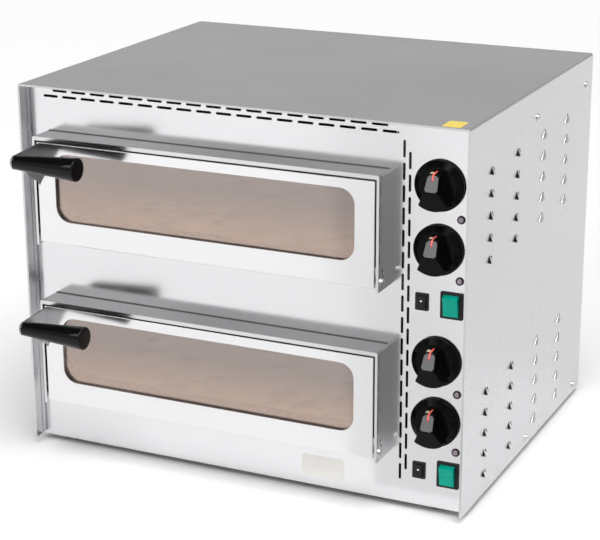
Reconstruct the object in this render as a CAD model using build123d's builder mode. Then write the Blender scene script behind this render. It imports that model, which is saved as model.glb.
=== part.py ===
from build123d import *
import math
import os

os.makedirs("parts", exist_ok=True)

# Countertop two-deck electric pizza oven. Millimetres, +Z up, the front faces -Y.
# The origin is on the worktop, in the middle of the whole oven's footprint.

# ---------------------------------------------------------------- overall
casing_width = 555.0
casing_depth = 443.0
casing_height = 441.0
foot_height = 8.0
sheet = 1.2  # stainless sheet of the casing, panels, doors and surrounds
fit = 0.3  # gap round a panel that drops in between others
face_gap = 0.1  # gap round a shank or tab in the hole that locates it
running_fit = 0.05  # radial clearance of a turning shaft or pin

# ---------------------------------------------------------------- casing
panel_recess = 15.5  # front panel behind the casing's front edge
bend = 2.4  # outside radius of a folded edge
hem_depth = 7.0  # sheet folded back on itself along the front edge
rear_flange_drop = 28.0
rear_flange_stand = 3.0
head_space = 43.0  # casing height that is left over by the two decks
control_width = 94.0  # from the door surround to the casing's right side
surround_margin = 28.5  # from the casing's left side to the door surround

louvre_columns = 4
louvre_rows = 5
louvre_column_pitch = 87.5
louvre_row_pitch = 25.1
louvre_front = 76.0  # first column behind the casing's front edge
louvre_foot = 26.5  # lowest row above the deck's base
louvre_opening = (12.0, 7.0)  # a triangle, apex up, under each scoop
louvre_group_rise = 254.5  # lowest row of the upper group above that of the lower

slot_length = 19.0
slot_width = 3.0
row_pitch = 25.0
row_inset = 34.8  # centre of the first slot of the lower row, from the left side
row_drop = 14.3  # centre of the lower row below the casing's top
row_gap = 6.8
column_pitch = 24.85
column_inset = 14.7  # first column from the door surround
column_gap = 6.8
column_drop = 31.4  # centre of the first slot below the casing's top
column_foot = 36.0  # no slot reaches lower than about this
rear_slot_length = 41.8
rear_slot_pitch = 7.5
rear_slots = 8
tray_wall = 18.0

# ---------------------------------------------------------------- door and its surround
surround_depth = 33.5
surround_bottom = 56.5
surround_top_gap = 12.0  # top of the surround below the next deck's base
lip_top = 4.5
lip_side = 3.0
back_flange = 8.0
door_gap = 2.0  # between the lips and the door
door_sill = 4.5  # bottom of the door above the surround's cheeks
door_inset = 0.5  # door face behind the lips
door_relief = 2.5  # back of the door to the front panel
door_edge = 0.9  # rounding of the skin's edges
hem_break = 0.4  # broken edge of the surround's sill
window_side = 23.4
window_top = 11.2
window_sill = 27.0
window_radius = 18.0
inner_window_extra = 7.0  # inner panel's cut-out wider than the window, each side
inner_rim = 10.0
glass_thickness = 4.0
glass_lap = 7.0
glass_corner = 2.0
clip_width = 14.0
clip_lap = 4.0
clip_sheet = 1.0
clip_wall = 2.5

pivot_inset = 9.0  # hinge axis behind the lips
pivot_rise = 9.5  # hinge axis above the bottom of the cheeks
pin_diameter = 5.0
pin_reach = 9.0  # pin inside the door's side
pin_head = (9.0, 2.6)
head_break = 0.6  # broken edge of small turned heads
slot_hole = (11.0, 4.2)  # slanted hole above each pin
slot_hole_rise = 10.0
slot_hole_shift = 3.8
slot_hole_angle = 116.0

# ---------------------------------------------------------------- handle
plate_thickness = 2.0
plate_inset = 1.4  # from the door's left edge
plate_root = 49.0
plate_drop = 1.5  # root of the plate below the door's top
plate_foot = 9.0
grip_forward = 48.5  # grip axis in front of the door's face
grip_drop = 12.6  # grip axis below the door's top
grip_length = 82.0
grip_small = 16.5
grip_large = 27.0
grip_edge = 1.2
plate_nose_angle = 40.0  # where the plate's lower edge meets its round nose
handle_screw = 6.0
handle_screw_head = (10.0, 3.5)
handle_screw_break = 1.0
handle_screw_bite = 26.0

# ---------------------------------------------------------------- chamber
chamber_inset = 16.25  # chamber wall inside the surround's cheek
mouth_inset = 2.0
mouth_radius = 8.0
liner_floor = 36.0  # underside of the liner above the deck's base
stone_level = 67.0  # baking surface above the deck's base
stone_thickness = 15.0
stone_gap = 2.0
stone_corner = 2.0
ledge = 12.0
mouth_top_gap = 28.0  # top of the mouth below the next deck's base
liner_top_gap = 14.0
rear_space = 36.0  # behind the liner's back wall, up to the rear panel
insulation = 17.0
insulation_gap = 0.5
element_diameter = 7.0
element_pitch = 50.0
element_margin = 25.0
element_bend = 20.0
element_drop = 9.0  # axis below the liner's roof, or above its floor
terminal_reach = 24.0
lamp_glass = (38.0, 9.0)
lamp_socket = (28.0, 24.0)
lamp_corner = (52.0, 34.0)  # lamp from the right wall and from the roof of the chamber

# ---------------------------------------------------------------- controls
control_wall_gap = 5.0  # partition to the right of the door surround
knob_inset = 38.0  # knob axis from the casing's right side
knob_low = 103.6
rocker_zone = 56.2
knob_skirt = 56.5
knob_land = 42.4
knob_rim = 3.0
knob_height = 8.0
knob_gap = 1.0
grip_plan = (13.0, 16.0, 33.0)  # width at the pointer, at the crest and at the tail
grip_profile = (20.0, 28.7, 18.5)  # height at the pointer, at the crest and at the tail
grip_along = (18.5, -1.4, -15.0)  # where those widths are, up from the axis
tail_radius = 24.6
shaft_diameter = 6.0
shaft_break = 0.5
shaft_in_knob = 14.0
bushing_diameter = 9.6
thermostat_body = (44.0, 44.0, 38.0)
thermostat_corner = 3.0
pilot_inset = 13.5
pilot_low = 71.0
pilot_spacing = 68.5
pilot_flange = (9.4, 1.6)
pilot_body = (7.0, 24.0)
main_rocker = dict(
    inset=21.9, height=42.3, flange=(26.0, 30.4), proud=2.0, body=(21.6, 26.6), depth=24.0,
    wall=1.1, cheek=1.9, swing=12.2, chord=6.0, dish=0.7, pivot=0.5, tilt=10.0,
)
small_rocker = dict(
    inset=56.3, height=42.3, flange=(15.6, 19.8), proud=1.6, body=(12.4, 16.8), depth=18.0,
    wall=0.9, cheek=0.9, swing=7.3, chord=3.7, dish=0.4, pivot=0.3, tilt=-10.0,
)
bezel_corner = 1.2
trunnion = 2.4

# ---------------------------------------------------------------- mains inlet and fasteners
gland_inset = 45.0
gland_height = 40.0
gland_thread = 20.0
gland_hex = (24.0, 7.0)
gland_dome = (21.0, 11.0)
gland_taper = 12.0
gland_bore = 10.0
gland_nut = (26.0, 5.0)
terminal_block = (52.0, 22.0, 26.0)
terminal_hole = (4.4, 10.0)
foot_inset = 42.0
foot_diameter = 26.0
foot_taper = 4.0
screw_diameter = 4.0
screw_head = (8.0, 2.2)
screw_taper = 14.0
screw_length = 9.0
side_screw_rise = 35.0  # below the casing's top
side_screws = (227.0, 419.0)  # behind the casing's front edge
base_screw_rise = 9.0
rear_screw_drop = 17.0
rear_screw_inset = 70.0

# ---------------------------------------------------------------- places that follow
half_width = casing_width / 2
surround_front_reach = surround_depth - panel_recess
grip_reach = surround_front_reach - door_inset + grip_forward + grip_large / 2
rear_reach = gland_hex[1] + gland_dome[1]
casing_front = grip_reach - (grip_reach + casing_depth + rear_reach) / 2
casing_rear = casing_front + casing_depth
panel_front = casing_front + panel_recess
panel_back = panel_front + sheet
base = foot_height
top = base + casing_height
deck_pitch = (casing_height - head_space) / 2
decks = {"lower": base, "upper": base + deck_pitch}

surround_left = -half_width + surround_margin
surround_right = half_width - control_width
surround_middle = (surround_left + surround_right) / 2
surround_front = panel_front - surround_depth
surround_top = deck_pitch - surround_top_gap

door_left = surround_left + lip_side + door_gap
door_right = surround_right - lip_side - door_gap
door_top = surround_top - lip_top - door_gap
door_bottom = surround_bottom + door_sill
door_front = surround_front + door_inset
door_back = panel_front - door_relief
pivot_y = surround_front + pivot_inset
pivot_z = surround_bottom + pivot_rise
window_left = door_left + window_side
window_right = door_right - window_side
window_low = door_bottom + window_sill
window_high = door_top - window_top

chamber_left = surround_left + chamber_inset
chamber_right = surround_right - chamber_inset
liner_front = panel_back
liner_back = casing_rear - sheet - rear_space
liner_roof = deck_pitch - liner_top_gap
mouth_top = deck_pitch - mouth_top_gap
stone_under = stone_level - stone_thickness
control_wall = surround_right + control_wall_gap
below = 30.0  # how far a cutting profile runs past an open underside

knob_x = half_width - knob_inset
knob_spacing = (deck_pitch - rocker_zone) / 2
knob_heights = {"floor": knob_low, "roof": knob_low + knob_spacing}
pilot_x = half_width - pilot_inset
pilot_heights = {"floor": pilot_low, "roof": pilot_low + pilot_spacing}


def facing(y):
    """Plane seen from the front: sketches are in X and Z, and a negative amount extrudes to the rear."""
    return Plane.XZ.offset(-y)


def beside(x):
    """Plane seen from the right: sketches are in Y and Z, and a positive amount extrudes to the right."""
    return Plane.YZ.offset(x)


def span(u0, u1, v0, v1, mode=Mode.ADD):
    """Rectangle between four limits."""
    with Locations(((u0 + u1) / 2, (v0 + v1) / 2)):
        Rectangle(u1 - u0, v1 - v0, mode=mode)


def rounded_span(u0, u1, v0, v1, radius, mode=Mode.ADD):
    """Rectangle between four limits, with round corners."""
    with Locations(((u0 + u1) / 2, (v0 + v1) / 2)):
        RectangleRounded(u1 - u0, v1 - v0, radius, mode=mode)


def save(piece, label):
    """Labels a finished piece and writes its STEP file."""
    piece.part.label = label
    export_step(piece.part, f"parts/{label}.step")


# ================================================================ casing
louvre_y = casing_front + louvre_front
louvre_z = base + louvre_foot
louvre_points = [
    (louvre_y + column * louvre_column_pitch, louvre_z + rise + row * louvre_row_pitch)
    for rise in (0.0, louvre_group_rise)
    for column in range(louvre_columns)
    for row in range(louvre_rows)
]
side_screw_points = [(casing_front + y, top - side_screw_rise) for y in side_screws]
side_screw_points += [(casing_front + y, base + base_screw_rise) for y in side_screws]
rear_screw_x = half_width - rear_screw_inset
rear_screw_points = [(x, top - rear_screw_drop) for x in (-rear_screw_x, rear_screw_x)]

with BuildPart() as outer_casing:
    with BuildSketch(facing(casing_front)) as wrap:
        span(-half_width, half_width, base, top)
        fillet(wrap.vertices().group_by(Axis.Y)[-1], bend)
        rounded_span(sheet - half_width, half_width - sheet, base - below, top - sheet, bend - sheet, Mode.SUBTRACT)
    extrude(amount=-casing_depth)
    with BuildSketch(facing(casing_front)) as hem:
        span(-half_width, half_width, base, top)
        fillet(hem.vertices().group_by(Axis.Y)[-1], bend)
        span(2 * sheet - half_width, half_width - 2 * sheet, base - below, top - 2 * sheet, Mode.SUBTRACT)
    extrude(amount=-hem_depth)
    with BuildSketch(beside(bend - half_width)):
        span(casing_rear - bend, casing_rear + rear_flange_stand, top - sheet, top)
        span(casing_rear + rear_flange_stand - sheet, casing_rear + rear_flange_stand, top - rear_flange_drop, top)
    extrude(amount=casing_width - 2 * bend)
    with BuildSketch(beside(-half_width)):
        with Locations(louvre_points):
            Polygon((-louvre_opening[0] / 2, -louvre_opening[1] / 2), (louvre_opening[0] / 2, -louvre_opening[1] / 2),
                    (0, louvre_opening[1] / 2), align=None)
        with Locations(side_screw_points):
            Circle(screw_diameter / 2 + face_gap)
    extrude(amount=casing_width, mode=Mode.SUBTRACT)
    with BuildSketch(facing(casing_rear)):
        with Locations(rear_screw_points):
            Circle(screw_diameter / 2 + face_gap)
    extrude(amount=-2 * rear_flange_stand, mode=Mode.SUBTRACT)
save(outer_casing, "outer_casing")

# ================================================================ front panel
row_count = int((surround_right + half_width - row_inset + slot_length / 2) // row_pitch) + 1
lower_row = [(-half_width + row_inset + i * row_pitch, top - row_drop) for i in range(row_count)]
upper_row = [(x + row_pitch / 2, z + row_gap) for x, z in lower_row[:-1]]
column_count = int((casing_height - column_drop - column_foot) // column_pitch) + 1
left_column = [(surround_right + column_inset, top - column_drop - i * column_pitch) for i in range(column_count)]
right_column = [(x + column_gap, z - column_pitch / 2) for x, z in left_column[:-1]]

with BuildPart() as front_panel:
    with BuildSketch(facing(panel_front)) as front_sheet:
        span(sheet + fit - half_width, half_width - sheet - fit, base, top - sheet - fit)
        fillet(front_sheet.vertices().group_by(Axis.Y)[-1], bend)
        for floor in decks.values():
            rounded_span(chamber_left + mouth_inset, chamber_right - mouth_inset,
                         floor + stone_level, floor + mouth_top, mouth_radius, Mode.SUBTRACT)
            with Locations([(knob_x, floor + height) for height in knob_heights.values()]):
                Circle(bushing_diameter / 2 + face_gap, mode=Mode.SUBTRACT)
            with Locations([(pilot_x, floor + height) for height in pilot_heights.values()]):
                Circle(pilot_body[0] / 2 + face_gap, mode=Mode.SUBTRACT)
            for rocker in (main_rocker, small_rocker):
                with Locations((half_width - rocker["inset"], floor + rocker["height"])):
                    Rectangle(rocker["body"][0] + 2 * face_gap, rocker["body"][1] + 2 * face_gap, mode=Mode.SUBTRACT)
        with Locations(lower_row + upper_row):
            SlotOverall(slot_length, slot_width, mode=Mode.SUBTRACT)
        with Locations(left_column + right_column):
            SlotOverall(slot_length, slot_width, rotation=90, mode=Mode.SUBTRACT)
    extrude(amount=-sheet)
save(front_panel, "front_panel")

# ================================================================ rear panel
gland_x = half_width - gland_inset
with BuildPart() as rear_panel:
    with BuildSketch(facing(casing_rear - sheet)) as rear_sheet:
        span(sheet + fit - half_width, half_width - sheet - fit, base, top - sheet - fit)
        fillet(rear_sheet.vertices().group_by(Axis.Y)[-1], bend)
        with Locations((gland_x, base + gland_height)):
            Circle(gland_thread / 2 + face_gap, mode=Mode.SUBTRACT)
        with Locations(rear_screw_points):
            Circle(screw_diameter / 2 + face_gap, mode=Mode.SUBTRACT)
        for floor in decks.values():
            vent_height = floor + (liner_floor + liner_roof) / 2
            with Locations((knob_x, vent_height)):
                with GridLocations(0, rear_slot_pitch, 1, rear_slots):
                    SlotOverall(rear_slot_length, slot_width, mode=Mode.SUBTRACT)
    extrude(amount=-sheet)
save(rear_panel, "rear_panel")

# ================================================================ base
tray_front = panel_back + fit
tray_back = casing_rear - sheet - fit
with BuildPart() as base_tray:
    with BuildSketch(Plane.XY.offset(base)):
        span(sheet + fit - half_width, half_width - sheet - fit, tray_front, tray_back)
    extrude(amount=tray_wall)
    with BuildSketch(Plane.XY.offset(base + sheet)):
        span(2 * sheet + fit - half_width, half_width - 2 * sheet - fit, tray_front + sheet, tray_back - sheet)
    extrude(amount=tray_wall, mode=Mode.SUBTRACT)
    with BuildSketch(beside(-half_width)):
        with Locations([(casing_front + y, base + base_screw_rise) for y in side_screws]):
            Circle(screw_diameter / 2 + face_gap)
    extrude(amount=casing_width, mode=Mode.SUBTRACT)
save(base_tray, "base_tray")

with BuildPart() as rubber_feet:
    with BuildSketch(Plane.XY):
        with Locations((0, (casing_front + casing_rear) / 2)):
            with GridLocations(casing_width - 2 * foot_inset, casing_depth - 2 * foot_inset, 2, 2):
                Circle(foot_diameter / 2)
    extrude(amount=foot_height, taper=foot_taper)
save(rubber_feet, "rubber_feet")

with BuildPart() as control_partition:
    with BuildSketch(beside(control_wall)):
        span(panel_back + fit, casing_rear - sheet - fit, base + tray_wall + fit, top - sheet - fit)
    extrude(amount=sheet)
save(control_partition, "control_partition")

# ================================================================ chambers
lamp_x = chamber_right - lamp_corner[0]
liner_left = chamber_left - sheet
liner_right = chamber_right + sheet
element_legs = 2 * int((chamber_right - chamber_left - 2 * element_margin) / element_pitch / 2 + 0.5)
chamber_middle = (chamber_left + chamber_right) / 2
leg_x = [chamber_middle + (i - (element_legs - 1) / 2) * element_pitch for i in range(element_legs)]
element_levels = {"floor": liner_floor + sheet + element_drop, "roof": liner_roof - sheet - element_drop}
lamp_height = liner_roof - sheet - lamp_corner[1]

for deck, floor in decks.items():
    with BuildPart() as liner:
        with BuildSketch(facing(liner_front)):
            span(liner_left, liner_right, floor + liner_floor, floor + liner_roof)
        extrude(amount=liner_front - liner_back)
        with BuildSketch(facing(liner_front)):
            span(chamber_left, chamber_right, floor + liner_floor + sheet, floor + liner_roof - sheet)
        extrude(amount=liner_front - liner_back + sheet, mode=Mode.SUBTRACT)
        with BuildSketch(facing(liner_front)):
            span(chamber_left, chamber_left + ledge, floor + stone_under - sheet, floor + stone_under)
            span(chamber_right - ledge, chamber_right, floor + stone_under - sheet, floor + stone_under)
        extrude(amount=liner_front - liner_back)
        with BuildSketch(facing(liner_back)):
            for level in element_levels.values():
                with Locations((leg_x[0], floor + level), (leg_x[-1], floor + level)):
                    Circle(element_diameter / 2 + face_gap)
            with Locations((lamp_x, floor + lamp_height)):
                Circle(lamp_socket[0] / 2 + face_gap)
        extrude(amount=sheet, mode=Mode.SUBTRACT)
    save(liner, f"{deck}_chamber_liner")

    with BuildPart() as stone:
        with BuildSketch(Plane.XY.offset(floor + stone_under)):
            span(chamber_left + stone_gap, chamber_right - stone_gap, liner_front + stone_gap,
                 liner_back - sheet - stone_gap)
        extrude(amount=stone_thickness)
        chamfer(stone.edges().filter_by(Axis.Z), stone_corner)
    save(stone, f"{deck}_baking_stone")

    for where, level in element_levels.items():
        front_y = liner_front + element_margin
        back_y = liner_back - sheet - element_margin
        turns = [(leg_x[0], liner_back + terminal_reach)]
        for i, x in enumerate(leg_x):
            if i:
                turns.append((x, back_y if i % 2 == 0 else front_y))
            if i < element_legs - 1:
                turns.append((x, front_y if i % 2 == 0 else back_y))
        turns.append((leg_x[-1], liner_back + terminal_reach))
        with BuildPart() as element:
            with BuildLine(Plane.XY.offset(floor + level)) as run:
                FilletPolyline(*turns, radius=element_bend)
            with BuildSketch(facing(liner_back + terminal_reach)):
                with Locations((leg_x[0], floor + level)):
                    Circle(element_diameter / 2)
            sweep()
        save(element, f"{deck}_{where}_element")

    with BuildPart() as lamp:
        with BuildSketch(Plane.YZ.offset(lamp_x)):
            with BuildLine():
                axis_z = floor + lamp_height
                inside = liner_back - sheet
                Polyline(
                    (inside - lamp_glass[1], axis_z), (inside - lamp_glass[1], axis_z + lamp_glass[0] / 3),
                    (inside, axis_z + lamp_glass[0] / 2), (inside, axis_z + lamp_socket[0] / 2),
                    (inside + lamp_socket[1], axis_z + lamp_socket[0] / 2), (inside + lamp_socket[1], axis_z),
                    close=True,
                )
            make_face()
        revolve(axis=Axis((lamp_x, 0, floor + lamp_height), (0, 1, 0)))
    save(lamp, f"{deck}_chamber_lamp")

with BuildPart() as insulation_jackets:
    wool = insulation_gap + insulation
    for floor in decks.values():
        with BuildSketch(facing(liner_front + fit)):
            span(liner_left - wool, liner_right + wool, floor + liner_floor - wool, floor + liner_roof + wool)
        extrude(amount=liner_front + fit - liner_back - wool)
        with BuildSketch(facing(liner_front)):
            span(liner_left - insulation_gap, liner_right + insulation_gap,
                 floor + liner_floor - insulation_gap, floor + liner_roof + insulation_gap)
        extrude(amount=liner_front - liner_back - insulation_gap, mode=Mode.SUBTRACT)
        with BuildSketch(facing(liner_back)):
            for level in element_levels.values():
                with Locations((leg_x[0], floor + level), (leg_x[-1], floor + level)):
                    Circle(element_diameter / 2 + insulation_gap)
            with Locations((lamp_x, floor + lamp_height)):
                Circle(lamp_socket[0] / 2 + insulation_gap)
        extrude(amount=-rear_space, mode=Mode.SUBTRACT)
save(insulation_jackets, "insulation_jackets")

# ================================================================ door surrounds and doors
for deck, floor in decks.items():
    with BuildPart() as surround:
        with BuildSketch(facing(surround_front)) as hood:
            span(surround_left, surround_right, floor + surround_bottom, floor + surround_top)
            fillet(hood.vertices().group_by(Axis.Y)[-1], bend)
            span(surround_left + sheet, surround_right - sheet, floor + surround_bottom - below,
                 floor + surround_top - sheet, Mode.SUBTRACT)
        extrude(amount=-surround_depth)
        with BuildSketch(facing(surround_front)) as lips:
            span(surround_left, surround_right, floor + surround_bottom, floor + surround_top)
            fillet(lips.vertices().group_by(Axis.Y)[-1], bend)
            span(surround_left + lip_side, surround_right - lip_side, floor + surround_bottom - below,
                 floor + surround_top - lip_top, Mode.SUBTRACT)
        extrude(amount=-sheet)
        with BuildSketch(facing(panel_front - sheet)):
            span(surround_left, surround_right, floor + surround_bottom, floor + surround_top - bend)
            span(surround_left + back_flange, surround_right - back_flange, floor + surround_bottom - below,
                 floor + surround_top - back_flange, Mode.SUBTRACT)
        extrude(amount=-sheet)
        with BuildSketch(beside(surround_left)):
            with Locations((pivot_y, floor + pivot_z)):
                Circle(pin_diameter / 2 + face_gap)
            with Locations((pivot_y + slot_hole_shift, floor + pivot_z + slot_hole_rise)):
                SlotOverall(*slot_hole, rotation=slot_hole_angle)
        extrude(amount=surround_right - surround_left, mode=Mode.SUBTRACT)
        chamfer(surround.edges().filter_by(Axis.X).group_by(Axis.Z)[0].sort_by(Axis.Y)[0:1], hem_break)
    save(surround, f"{deck}_door_surround")

    with BuildPart() as hinge_pins:
        for face, outward in ((surround_left, -1), (surround_right, 1)):
            with BuildSketch(beside(face)):
                with Locations((pivot_y, floor + pivot_z)):
                    Circle(pin_head[0] / 2)
            extrude(amount=outward * pin_head[1])
            with BuildSketch(beside(face)):
                with Locations((pivot_y, floor + pivot_z)):
                    Circle(pin_diameter / 2)
            extrude(amount=-outward * (lip_side + door_gap + pin_reach))
        chamfer(hinge_pins.faces().filter_by(Axis.X).group_by(Axis.X)[0].edges(), head_break)
        chamfer(hinge_pins.faces().filter_by(Axis.X).group_by(Axis.X)[-1].edges(), head_break)
    save(hinge_pins, f"{deck}_hinge_pins")

    plate_left = door_left + plate_inset
    plate_right = plate_left + plate_thickness
    plate_top = floor + door_top - plate_drop
    skin_back = door_front + sheet
    with BuildPart() as skin:
        with BuildSketch(facing(door_front)):
            span(door_left, door_right, floor + door_bottom, floor + door_top)
        extrude(amount=door_front - door_back)
        fillet(skin.faces().sort_by(Axis.Y)[0].outer_wire().edges(), door_edge)
        with BuildSketch(facing(skin_back)):
            span(door_left + sheet, door_right - sheet, floor + door_bottom + sheet, floor + door_top - sheet)
        extrude(amount=skin_back - door_back, mode=Mode.SUBTRACT)
        with BuildSketch(facing(door_front)):
            rounded_span(window_left, window_right, floor + window_low, floor + window_high, window_radius)
            span(plate_left - face_gap, plate_right + face_gap, plate_top - plate_root - face_gap,
                 plate_top + face_gap)
        extrude(amount=-sheet, mode=Mode.SUBTRACT)
        with BuildSketch(beside(door_left)):
            with Locations((pivot_y, floor + pivot_z)):
                Circle(pin_diameter / 2 + running_fit)
        extrude(amount=door_right - door_left, mode=Mode.SUBTRACT)
    save(skin, f"{deck}_door_skin")

    inner_left = door_left + sheet + fit
    inner_right = door_right - sheet - fit
    inner_low = floor + door_bottom + sheet + fit
    inner_high = floor + door_top - sheet - fit
    with BuildPart() as inner_panel:
        with BuildSketch(facing(door_back - inner_rim)):
            span(inner_left, inner_right, inner_low, inner_high)
        extrude(amount=-inner_rim)
        with BuildSketch(facing(door_back - inner_rim)):
            span(inner_left + sheet, inner_right - sheet, inner_low + sheet, inner_high - sheet)
        extrude(amount=sheet - inner_rim, mode=Mode.SUBTRACT)
        with BuildSketch(facing(door_back - sheet)):
            rounded_span(window_left - inner_window_extra, window_right + inner_window_extra,
                         floor + window_low, floor + window_high, window_radius)
        extrude(amount=-sheet, mode=Mode.SUBTRACT)
    save(inner_panel, f"{deck}_door_inner_panel")

    with BuildPart() as glass:
        with BuildSketch(facing(skin_back)):
            rounded_span(window_left - glass_lap, window_right + glass_lap, floor + window_low - glass_lap,
                         floor + window_high + glass_lap, glass_corner)
        extrude(amount=-glass_thickness)
    save(glass, f"{deck}_door_glass")

    with BuildPart() as bracket:
        grip_y = door_front - grip_forward
        grip_z = floor + door_top - grip_drop
        tip = grip_small / 2
        nose_angle = math.radians(plate_nose_angle)
        nose = (grip_y + tip * math.sin(nose_angle), grip_z - tip * math.cos(nose_angle))
        with BuildSketch(beside(plate_left)):
            with BuildLine():
                Polyline((grip_y, grip_z + tip), (skin_back, plate_top), (skin_back, plate_top - plate_root), nose)
                ThreePointArc(nose, (grip_y - tip, grip_z), (grip_y, grip_z + tip))
            make_face()
            with Locations((grip_y, grip_z)):
                Circle(handle_screw / 2 + face_gap, mode=Mode.SUBTRACT)
        extrude(amount=plate_thickness)
        with BuildSketch(facing(skin_back)):
            span(plate_left, plate_right + plate_foot, plate_top - plate_root, plate_top)
        extrude(amount=-plate_thickness)
    save(bracket, f"{deck}_handle_bracket")

    with BuildPart() as grip:
        with BuildSketch(Plane.XZ.offset(-grip_y)):
            with BuildLine():
                Polyline(
                    (plate_right, grip_z + handle_screw / 2 + face_gap), (plate_right, grip_z + grip_small / 2),
                    (plate_right + grip_length - grip_edge, grip_z + grip_large / 2),
                    (plate_right + grip_length, grip_z + grip_large / 2 - grip_edge),
                    (plate_right + grip_length, grip_z), (plate_right + handle_screw_bite + fit, grip_z),
                    (plate_right + handle_screw_bite + fit, grip_z + handle_screw / 2 + face_gap),
                    close=True,
                )
            make_face()
        revolve(axis=Axis((plate_right, grip_y, grip_z), (1, 0, 0)))
    save(grip, f"{deck}_handle_grip")

    with BuildPart() as fixings:
        with BuildSketch(beside(plate_left)):
            with Locations((grip_y, grip_z)):
                Circle(handle_screw_head[0] / 2)
        extrude(amount=-handle_screw_head[1])
        chamfer(fixings.faces().sort_by(Axis.X)[0].edges(), handle_screw_break)
        with BuildSketch(beside(plate_left)):
            with Locations((grip_y, grip_z)):
                Circle(handle_screw / 2)
        extrude(amount=plate_thickness + handle_screw_bite)
        glass_back = skin_back + glass_thickness
        for edge, inward in ((floor + window_low - glass_lap, 1), (floor + window_high + glass_lap, -1)):
            for clip_x in (window_left + 2 * clip_width, window_right - 2 * clip_width):
                with BuildSketch(beside(clip_x - clip_width / 2)):
                    with BuildLine():
                        Polyline(
                            (skin_back, edge - inward * face_gap), (skin_back, edge - inward * clip_wall),
                            (glass_back + clip_sheet, edge - inward * clip_wall),
                            (glass_back + clip_sheet, edge + inward * clip_lap),
                            (glass_back, edge + inward * clip_lap), (glass_back, edge - inward * face_gap),
                            close=True,
                        )
                    make_face()
                extrude(amount=clip_width)
    save(fixings, f"{deck}_door_fixings")

# ================================================================ controls
knob_foot = panel_front - knob_gap
thermostat_face = panel_back + fit
shaft_end = thermostat_face + thermostat_body[2] / 2

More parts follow.
